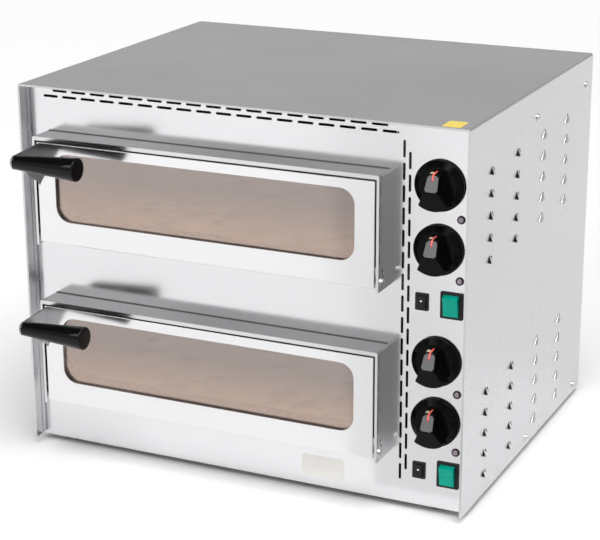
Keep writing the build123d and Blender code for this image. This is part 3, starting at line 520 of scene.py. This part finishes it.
def makePointer(node, look, middle, path, faceOut, wallOut):  # up the bar's end wall, then down its face
    thick, half = look["lineThick"] * mm, look["lineWidth"] / 2 * mm
    lifts = [wallOut * thick, (wallOut + faceOut).normalized() * thick * 1.4, faceOut * thick]
    work = bmesh.new()
    rows = []
    for place, lift in zip(path, lifts):
        under, over = [place + lift * rise for rise in look["lineSpan"]]
        around = [(-half, under), (-half, over), (half, over), (half, under)]
        rows.append([work.verts.new((middle + across, spot.y, spot.z)) for across, spot in around])
    for near, far in zip(rows, rows[1:]):
        for i in range(4):
            work.faces.new([near[i], near[(i + 1) % 4], far[(i + 1) % 4], far[i]])
    work.faces.new(rows[0])
    work.faces.new(rows[-1])
    makePiece(work, f"{node}_pointer", pointerRed, node)


# painted reflection: a beige dash on the bar's end wall beside the red line
def makeBeigeReflection(node, look, middle, wall, wallOut):
    near, far = [wall[0].lerp(wall[1], share) for share in look["reflectionSpan"]]
    left, right = [middle + side * mm for side in look["reflectionSide"]]
    work = bmesh.new()
    corners = ((left, near), (right, near), (right, far), (left, far))
    prism(work, [(x, spot.y, spot.z) for x, spot in corners], wallOut * look["lineThick"] * mm)
    makePiece(work, f"{node}_mark", paintedBeigeReflection, node)


def makeHollow(node, look, middle, end, faceOut):  # a shallow ring where the line stops
    radius = look["hollow"] * mm
    profile = [(-0.3 * mm, 0.0), (-0.3 * mm, radius), (0.2 * mm, radius), (0.2 * mm, 0.72 * radius),
               (0.05 * mm, 0.6 * radius), (0.05 * mm, 0.0)]
    work = bmesh.new()
    lathe(work, profile, (middle, end.y, end.z), faceOut, 20)
    makePiece(work, f"{node}_hollow", switchBlack, node)


def makeKnob(deck, zone, look):
    node = f"{deck}_{zone}_knob"
    softened(node, f"{node}_cap", look["edge"], knobBlack, node, segments=3, angle=25.0)
    low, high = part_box(node)
    middle = (low.x + high.x) / 2
    spots = [vert.co for vert in nodes[node].data.vertices]
    tip = max((spot for spot in spots if high.y - spot.y > look["barBack"] * mm), key=lambda spot: spot.z)
    crest = min(spots, key=lambda spot: (round(spot.y, 5), -spot.z))
    down = Vector((0, crest.y - tip.y, crest.z - tip.z)).normalized()
    wallOut = Vector((0, 0, 1))
    faceOut = Vector((0, down.z, -down.y))
    if faceOut.y > 0:
        faceOut = -faceOut
    makeFacet(node, look, middle, tip, crest, down, faceOut)
    root = Vector((0, high.y - look["skirt"] * mm, tip.z + look["rootRise"] * mm))
    bend = Vector((0, tip.y, tip.z))
    end = bend + down * look["lineReach"] * mm
    makePointer(node, look, middle, [root, bend, end], faceOut, wallOut)
    makeBeigeReflection(node, look, middle, [root, bend], wallOut)
    makeHollow(node, look, middle, end, faceOut)


for deck in decks:
    for zone in zones:
        makeKnob(deck, zone, knobLook)
print("knobs")

# switches: soft frames and keys, and a white dot on each lamp key
switchLook = dict(frameEdge=0.35, keyEdge=0.3, dotRadius=1.1, dotRise=1.3, dotThick=0.15)


def makeSwitches(deck, look):
    for kind, keyFinish in (("main", switchGreen), ("lamp", switchBlack)):
        node = f"{deck}_{kind}_switch"
        softened(f"{node}_bezel", f"{deck}_{kind}_frame", look["frameEdge"], switchBlack, "root")
        softened(f"{node}_key", f"{deck}_{kind}_key", look["keyEdge"], keyFinish, f"{node}_key", angle=30.0)
    node = f"{deck}_lamp_switch_key"
    low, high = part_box(node)
    start = Vector(((low.x + high.x) / 2, low.y - 10 * mm, (low.z + high.z) / 2 + look["dotRise"] * mm))
    key = nodes[node].data
    spots = [vert.co for vert in key.vertices]
    keySkin = BVHTree.FromPolygons(spots, [face.vertices[:] for face in key.polygons])
    at, normal, face, away = keySkin.ray_cast(start, Vector((0, 1, 0)))
    radius, thick = look["dotRadius"] * mm, look["dotThick"] * mm
    work = bmesh.new()
    lathe(work, [(-thick, 0.0), (-thick, radius), (thick, radius), (thick, 0.0)], at, normal.normalized(), 24)
    makePiece(work, f"{deck}_lamp_key_dot", markWhite, node)


for deck in decks:
    makeSwitches(deck, switchLook)
print("switches")

# pilot lamps: a toothed ring round a faceted lens
pilotLook = dict(teeth=18, toothDepth=0.35, ringInside=3.3, ringBevel=0.4, rimBevel=0.5, flange=1.6,
                 barrel=3.4, lensRise=1.5, facets=10)


def makePilot(deck, zone, look):
    node = f"{deck}_{zone}_pilot_lamp"
    low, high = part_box(node)
    centre = Vector(((low.x + high.x) / 2, low.y, (low.z + high.z) / 2))
    outside, depth = (high.x - low.x) / 2, high.y - low.y
    inside, flange, barrel = look["ringInside"] * mm, look["flange"] * mm, look["barrel"] * mm
    bevel, rimBevel = look["ringBevel"] * mm, look["rimBevel"] * mm
    work = bmesh.new()
    lathe(work, [(bevel, inside), (0.0, inside + bevel), (0.0, outside - rimBevel), (bevel, outside),
                 (flange, outside), (flange, barrel), (depth, barrel), (depth, 0.0)],
          centre, (0, 1, 0), 2 * look["teeth"])
    for vert in work.verts:
        away = Vector((vert.co.x - centre.x, 0, vert.co.z - centre.z))
        tooth = round(math.atan2(away.x, away.z) / (math.pi / look["teeth"]))
        if away.length > outside * 0.99 and tooth % 2:
            vert.co -= away.normalized() * look["toothDepth"] * mm
    ring = makePiece(work, f"{node}_ring", switchBlack, "root", 25.0)
    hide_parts(node)
    rise = look["lensRise"] * mm
    work = bmesh.new()
    profile = [(flange, inside), (0.3 * mm, inside), (-0.35 * rise, 0.8 * inside)]
    profile += [(-0.75 * rise, 0.45 * inside), (-rise, 0.0)]
    lathe(work, profile, centre, (0, 1, 0), look["facets"])
    makePiece(work, f"{node}_lens", lensSmoke, "root", 5.0)


for deck in decks:
    for zone in zones:
        makePilot(deck, zone, pilotLook)
print("pilot lamps")

# two blank labels, one on top and one on the front
labelLook = dict(topSize=(21.0, 27.0), topFromRight=13.0, topFromFront=4.0, frontSize=(53.0, 26.0),
                 frontFromLeft=354.0, frontHeight=11.0, thick=0.12, cornerRound=1.5)
casingLow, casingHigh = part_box("outer_casing")
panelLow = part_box("front_panel")[0]


def makeLabels(look):
    right, near = casingHigh.x - look["topFromRight"] * mm, casingLow.y + look["topFromFront"] * mm
    left, far = right - look["topSize"][0] * mm, near + look["topSize"][1] * mm
    corners = [(x, y, casingHigh.z) for x, y in ((left, near), (right, near), (right, far), (left, far))]
    blankLabel("top_sticker", corners, (0, 0, 1), labelYellow, look)
    left, low = casingLow.x + look["frontFromLeft"] * mm, casingLow.z + look["frontHeight"] * mm
    right, high = left + look["frontSize"][0] * mm, low + look["frontSize"][1] * mm
    corners = [(x, panelLow.y, z) for x, z in ((left, low), (left, high), (right, high), (right, low))]
    blankLabel("front_plate", corners, (0, -1, 0), labelPale, look)


makeLabels(labelLook)
print("labels")

# painted shadow: a dark strip standing in for the shaded gap where each door surround comes through the front
# panel
seamShape = dict(height=0.9, depth=0.7, inset=2.0)


def makeSeam(deck, look):
    low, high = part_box(f"{deck}_door_surround")
    left, right = low.x + look["inset"] * mm, high.x - look["inset"] * mm
    foot, top, front = high.z, high.z + look["height"] * mm, panelLow.y - look["depth"] * mm
    work = bmesh.new()
    prism(work, [(left, front, foot), (right, front, foot), (right, front, top), (left, front, top)],
          (0, look["depth"] * mm, 0))
    makePiece(work, f"{deck}_surround_seam", seamShadowGrey, "root")


for deck in decks:
    makeSeam(deck, seamShape)
print("seams")

# windows: the door skin turned back round each opening, a pane behind it, and a sleeve on to the inner panel
windowShape = dict(lap=7.0, radius=18.0, wall=1.0, rimDepth=3.0, pane=1.0, sleeveGap=0.2, sleeveEnd=1.6,
                   cornerSteps=10)


def roundedLoop(limits, radius, steps, y):
    left, right, low, high = limits
    corners = ((right - radius, high - radius, 0), (left + radius, high - radius, 90),
               (left + radius, low + radius, 180), (right - radius, low + radius, 270))
    loop = []
    for x, z, start in corners:
        for i in range(steps + 1):
            turn = math.radians(start + 90 * i / steps)
            loop.append(Vector((x + radius * math.cos(turn), y, z + radius * math.sin(turn))))
    return loop


def makeSleeve(deck, name, look, limits, front, back):  # a thin wall round the opening
    radius, wall, steps = look["radius"] * mm, look["wall"] * mm, look["cornerSteps"]
    outer = (limits[0] - wall, limits[1] + wall, limits[2] - wall, limits[3] + wall)
    loops = [roundedLoop(limits, radius, steps, front), roundedLoop(limits, radius, steps, back),
             roundedLoop(outer, radius + wall, steps, back), roundedLoop(outer, radius + wall, steps, front)]
    work = bmesh.new()
    rings = [[work.verts.new(point) for point in loop] for loop in loops]
    for near, far in zip(rings, rings[1:] + rings[:1]):
        for i in range(len(near)):
            j = (i + 1) % len(near)
            work.faces.new([near[i], near[j], far[j], far[i]])
    makePiece(work, f"{deck}_window_{name}", rimSteel, f"{deck}_door", 40.0)


def makeWindow(deck, look):
    low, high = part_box(f"{deck}_door_glass")
    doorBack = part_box(f"{deck}_door_inner_panel")[1].y
    lap, thin = look["lap"] * mm, look["pane"] * mm
    limits = (low.x + lap, high.x - lap, low.z + lap, high.z - lap)
    sleeveFront, sleeveBack = high.y + look["sleeveGap"] * mm, doorBack - look["sleeveEnd"] * mm
    makeSleeve(deck, "rim", look, limits, low.y, low.y + look["rimDepth"] * mm)
    makeSleeve(deck, "reveal", look, limits, sleeveFront, sleeveBack)
    corners = ((low.x, low.z), (low.x, high.z), (high.x, high.z), (high.x, low.z))
    work = bmesh.new()
    prism(work, [(x, high.y - thin, z) for x, z in corners], (0, thin, 0))
    pane = makePiece(work, f"{deck}_window_pane", doorGlass, f"{deck}_door")
    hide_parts(f"{deck}_door_glass")


for deck in decks:
    makeWindow(deck, windowShape)
print("windows")


# node trees for what repeats
def newTree(name, inputs):  # inputs are kinds of socket by name, with any geometry first
    tree = bpy.data.node_groups.new(name, "GeometryNodeTree")
    tree.interface.new_socket("Geometry", in_out="OUTPUT", socket_type="NodeSocketGeometry")
    for key, kind in inputs.items():
        tree.interface.new_socket(key, in_out="INPUT", socket_type=f"NodeSocket{kind}")
    return tree, tree.nodes.new("NodeGroupInput").outputs


def joined(tree, *parts):
    join = addNode(tree, "GeometryNodeJoinGeometry")
    for part in parts:
        tree.links.new(part, join.inputs[0])
    return join.outputs[0]


def flipped(tree, mesh):
    return addNode(tree, "GeometryNodeFlipFaces", {"Mesh": mesh}).outputs["Mesh"]


def merged(tree, geometry, gap):
    inputs = {"Geometry": geometry, "Distance": gap * mm}
    return addNode(tree, "GeometryNodeMergeByDistance", inputs).outputs[0]


def eitherOf(tree, value, test, whenFalse, whenTrue):  # a choice by comparing a value with nothing
    choice = addNode(tree, "FunctionNodeCompare", {"A": value, "B": 0.0}, data_type="FLOAT", operation=test)
    return addNode(tree, "GeometryNodeSwitch", {"Switch": choice.outputs["Result"], "False": whenFalse,
                                                "True": whenTrue}, input_type="GEOMETRY").outputs["Output"]


def moved(tree, geometry, offset):
    return addNode(tree, "GeometryNodeTransform", {"Geometry": geometry, "Translation": offset}).outputs[0]


def finishTree(tree, geometry, material):  # real meshes, painted
    real = addNode(tree, "GeometryNodeRealizeInstances", {"Geometry": geometry}).outputs[0]
    painted = addNode(tree, "GeometryNodeSetMaterial", {"Geometry": real, "Material": material}).outputs[0]
    tree.links.new(painted, tree.nodes.new("NodeGroupOutput").inputs[0])


def runTree(work, tree, name, values, base=None):  # adds what a tree makes from its named inputs to a bmesh
    host = bpy.data.objects.new(name, base or bpy.data.meshes.new(name))
    bpy.context.scene.collection.objects.link(host)
    modifier = host.modifiers.new(name, "NODES")
    modifier.node_group = tree
    sockets = {item.name: item.identifier for item in tree.interface.items_tree if item.in_out == "INPUT"}
    for key, value in values.items():
        modifier[sockets[key]] = value
    bpy.context.view_layer.update()
    mesh = bpy.data.meshes.new_from_object(host.evaluated_get(bpy.context.evaluated_depsgraph_get()))
    bpy.data.objects.remove(host)
    work.from_mesh(mesh)
    bpy.data.meshes.remove(mesh)


# louvre scoops: one rule for all, punched outward from both sides
scoopRule = dict(length=11.5, height=9.5, stand=3.0, wall=0.8, sunk=0.3, acrossSteps=7, upSteps=6,
                 floorSteps=3, firstColumn=76.0, columnPitch=87.5, firstRow=25.9, rowPitch=25.1, rows=5,
                 groupRise=254.5)


def scoopSheet(tree, group, look, kind):  # the hood narrows to its apex, and the floor closes its foot
    upSteps = look["upSteps"] if kind == "hood" else look["floorSteps"]
    grid = addNode(tree, "GeometryNodeMeshGrid", {"Size X": 1.0, "Size Y": 1.0, "Vertices Y": upSteps,
                                                  "Vertices X": look["acrossSteps"]}).outputs["Mesh"]
    place = addNode(tree, "GeometryNodeInputPosition").outputs[0]
    parts = addNode(tree, "ShaderNodeSeparateXYZ", {0: place}).outputs
    across = maths(tree, "ADD", parts["X"], 0.5)
    up = maths(tree, "ADD", parts["Y"], 0.5)
    angle = maths(tree, "MULTIPLY", across, math.pi / 2)
    scale = maths(tree, "SUBTRACT", 1.0, up) if kind == "hood" else up
    height = up if kind == "hood" else 0.0
    bulge = maths(tree, "MULTIPLY", maths(tree, "SINE", angle), scale)
    outward = maths(tree, "MULTIPLY", maths(tree, "MULTIPLY", bulge, group["Stand"]), group["Side"])
    reach = maths(tree, "SUBTRACT", 0.5, maths(tree, "MULTIPLY", maths(tree, "COSINE", angle), scale))
    along = maths(tree, "MULTIPLY", maths(tree, "MULTIPLY", reach, group["Length"]), group["Mouth"])
    rise = maths(tree, "MULTIPLY", maths(tree, "SUBTRACT", height, 0.5), group["Height"])
    point = vectorOf(tree, X=outward, Y=along, Z=rise)
    shaped = addNode(tree, "GeometryNodeSetPosition", {"Geometry": grid, "Position": point}).outputs[0]
    return shaped if kind == "hood" else flipped(tree, shaped)


def makeScoopTree(look):
    sizes = ("Side", "Mouth", "Length", "Height", "Stand", "Wall", "Column Pitch", "Row Pitch", "Group Rise")
    tree, group = newTree("louvre scoops", {**dict.fromkeys(sizes, "Float"), "Rows": "Int", "Start": "Vector",
                                            "Material": "Material"})  # Side is -1 or 1 along X, Mouth along Y
    sheets = [scoopSheet(tree, group, look, kind) for kind in ("hood", "floor")]
    shape = merged(tree, joined(tree, *sheets), 0.05)
    facing = maths(tree, "MULTIPLY", group["Side"], group["Mouth"])
    outside = eitherOf(tree, facing, "LESS_THAN", shape, flipped(tree, shape))
    wall = addNode(tree, "GeometryNodeExtrudeMesh", {"Mesh": outside, "Offset Scale": group["Wall"],
                                                     "Individual": False}).outputs["Mesh"]
    spots = merged(tree, joined(tree, wall, flipped(tree, outside)), 0.01)
    runs = ((group["Rows"], "Z", "Row Pitch"), (2, "Y", "Column Pitch"), (2, "Z", "Group Rise"))
    for count, axis, pitch in runs:
        offset = vectorOf(tree, **{axis: group[pitch]})
        line = addNode(tree, "GeometryNodeMeshLine", {"Count": count, "Offset": offset}).outputs["Mesh"]
        spots = addNode(tree, "GeometryNodeInstanceOnPoints", {"Points": line, "Instance": spots}).outputs[0]
    finishTree(tree, moved(tree, spots, group["Start"]), group["Material"])
    return tree


def makeScoops(look):
    tree = makeScoopTree(look)
    sizes = {"Length": look["length"] * mm, "Height": look["height"] * mm, "Stand": look["stand"] * mm,
             "Wall": look["wall"] * mm, "Column Pitch": look["columnPitch"] * mm,
             "Row Pitch": look["rowPitch"] * mm, "Group Rise": look["groupRise"] * mm, "Rows": look["rows"],
             "Material": casingSteel}
    for side, where, face in ((-1.0, "left", casingLow.x), (1.0, "right", casingHigh.x)):
        work = bmesh.new()
        for mouth, column in ((-1.0, 0), (1.0, 2)):
            start = (face - side * look["sunk"] * mm,
                     casingLow.y + (look["firstColumn"] + column * look["columnPitch"]) * mm,
                     casingLow.z + look["firstRow"] * mm)
            runTree(work, tree, "scoops", {**sizes, "Side": side, "Mouth": mouth, "Start": start})
        piece = newPiece(f"louvres_{where}", meshOf(work, f"louvres_{where}", 50.0), casingSteel)
        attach(piece, "root")
        print("louvres", where, len(piece.data.polygons), "faces")


makeScoops(scoopRule)

# fasteners: one rule for cross-head screws and for the plain heads of the hinge pins
screwHead = dict(radius=4.0, rise=2.2, crown=0.7, slot=(4.4, 0.9), slotDepth=1.3, shank=2.0, length=9.0,
                 sides=32)
hingeHead = dict(radius=4.5, rise=2.6, crown=0.9, slot=(0.0, 0.0), slotDepth=0.0, shank=2.5, length=14.0,
                 sides=24)
rearScrewDepth = 12.0  # screws nearer to the casing's back than this go in from behind


def domedHead(tree, group):  # a cylinder whose upper end sinks towards its rim
    head = addNode(tree, "GeometryNodeMeshCylinder", {"Vertices": group["Sides"], "Side Segments": 6,
                                                      "Fill Segments": 3, "Radius": group["Radius"],
                                                      "Depth": group["Rise"]}).outputs["Mesh"]
    place = addNode(tree, "GeometryNodeInputPosition").outputs[0]
    parts = addNode(tree, "ShaderNodeSeparateXYZ", {0: place}).outputs
    flat = vectorOf(tree, X=parts["X"], Y=parts["Y"])
    away = addNode(tree, "ShaderNodeVectorMath", {0: flat}, operation="LENGTH").outputs["Value"]
    curve = maths(tree, "POWER", maths(tree, "DIVIDE", away, group["Radius"]), 2.6)
    half = maths(tree, "MULTIPLY", group["Rise"], 0.5)
    share = maths(tree, "DIVIDE", maths(tree, "ADD", parts["Z"], half), group["Rise"])
    sink = maths(tree, "MULTIPLY", maths(tree, "MULTIPLY", curve, group["Crown"]), share)
    offset = vectorOf(tree, Z=maths(tree, "SUBTRACT", half, sink))
    return addNode(tree, "GeometryNodeSetPosition", {"Geometry": head, "Offset": offset}).outputs["Geometry"]


def crossCut(tree, group, head):  # two crossed boxes taken out of the head
    cut = addNode(tree, "GeometryNodeMeshBoolean", {"Mesh 1": head}, operation="DIFFERENCE", solver="EXACT")
    for first, second in (("Slot Length", "Slot Width"), ("Slot Width", "Slot Length")):
        depth = maths(tree, "MULTIPLY", group["Slot Depth"], 2.0)
        size = vectorOf(tree, X=group[first], Y=group[second], Z=depth)
        box = addNode(tree, "GeometryNodeMeshCube", {"Size": size}).outputs["Mesh"]
        tree.links.new(moved(tree, box, vectorOf(tree, Z=group["Rise"])), cut.inputs["Mesh 2"])
    return cut.outputs["Mesh"]


def makeFastenerTree():
    sizes = ("Radius", "Rise", "Crown", "Slot Length", "Slot Width", "Slot Depth", "Shank", "Length")
    tree, group = newTree("fasteners", {"Places": "Geometry", **dict.fromkeys(sizes, "Float"), "Sides": "Int",
                                        "Material": "Material"})
    domed = domedHead(tree, group)
    head = eitherOf(tree, group["Slot Depth"], "GREATER_THAN", domed, crossCut(tree, group, domed))
    shank = addNode(tree, "GeometryNodeMeshCylinder", {"Vertices": 16, "Radius": group["Shank"],
                                                       "Depth": group["Length"]}).outputs["Mesh"]
    shank = moved(tree, shank, vectorOf(tree, Z=maths(tree, "MULTIPLY", group["Length"], -0.5)))
    way = addNode(tree, "GeometryNodeInputNamedAttribute", {"Name": "way"}, data_type="FLOAT_VECTOR")
    turn = addNode(tree, "FunctionNodeAlignRotationToVector", {"Vector": way.outputs["Attribute"]}, axis="Z")
    spin = addNode(tree, "FunctionNodeRandomValue", {"Min": (0, 0, 0), "Max": (0, 0, 6.28), "Seed": 7},
                   data_type="FLOAT_VECTOR")
    turned = {"Rotation": turn.outputs["Rotation"], "Rotate By": spin.outputs["Value"]}
    turn = addNode(tree, "FunctionNodeRotateRotation", turned, rotation_space="LOCAL")
    spots = addNode(tree, "GeometryNodeInstanceOnPoints", {"Points": group["Places"],
                                                           "Instance": joined(tree, head, shank),
                                                           "Rotation": turn.outputs["Rotation"]})
    finishTree(tree, spots.outputs["Instances"], group["Material"])
    return tree


fastenerTree = makeFastenerTree()


def makeFasteners(node, name, look, rearLimit=math.inf):
    work = bmesh.new()
    ways = []
    rise = look["rise"] * mm
    for low, high in solidsOf(node):
        middle = (low + high) / 2
        if middle.y > rearLimit:
            ways.append((0, 1, 0))
            work.verts.new((middle.x, high.y - rise, middle.z))
        else:
            side = 1 if middle.x > 0 else -1
            ways.append((side, 0, 0))
            work.verts.new((high.x - rise if side > 0 else low.x + rise, middle.y, middle.z))
    points = bpy.data.meshes.new(name)
    work.to_mesh(points)
    work.free()
    way = points.attributes.new("way", "FLOAT_VECTOR", "POINT")
    for i, direction in enumerate(ways):
        way.data[i].vector = direction
    work = bmesh.new()
    runTree(work, fastenerTree, name, {
        "Radius": look["radius"] * mm, "Rise": rise, "Crown": look["crown"] * mm,
        "Slot Length": look["slot"][0] * mm, "Slot Width": look["slot"][1] * mm,
        "Slot Depth": look["slotDepth"] * mm, "Shank": look["shank"] * mm, "Length": look["length"] * mm,
        "Sides": look["sides"], "Material": screwSteel}, points)
    piece = newPiece(name, meshOf(work, name, 32.0), screwSteel)
    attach(piece, "root")
    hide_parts(node)
    print(name, len(ways), "places,", len(piece.data.polygons), "faces")


makeFasteners("casing_screws", "cross_head_screws", screwHead, casingHigh.y - rearScrewDepth * mm)
for deck in decks:
    makeFasteners(f"{deck}_hinge_pins", f"{deck}_pivot_heads", hingeHead)

# small parts with softened edges
edgeRounds = dict(gland=0.5, feet=0.8, stone=1.2, fixings=0.25)
softened("cable_gland", "cable_gland_soft", edgeRounds["gland"], nylonBlack, "root", angle=30.0)
softened("rubber_feet", "rubber_feet_soft", edgeRounds["feet"], footRubber, "root", angle=30.0)
for deck in decks:
    softened(f"{deck}_baking_stone", f"{deck}_stone_slab", edgeRounds["stone"], stoneFinish, "root")
    softened(f"{deck}_door_fixings", f"{deck}_door_screws", edgeRounds["fixings"], screwSteel, f"{deck}_door")
print("small parts")
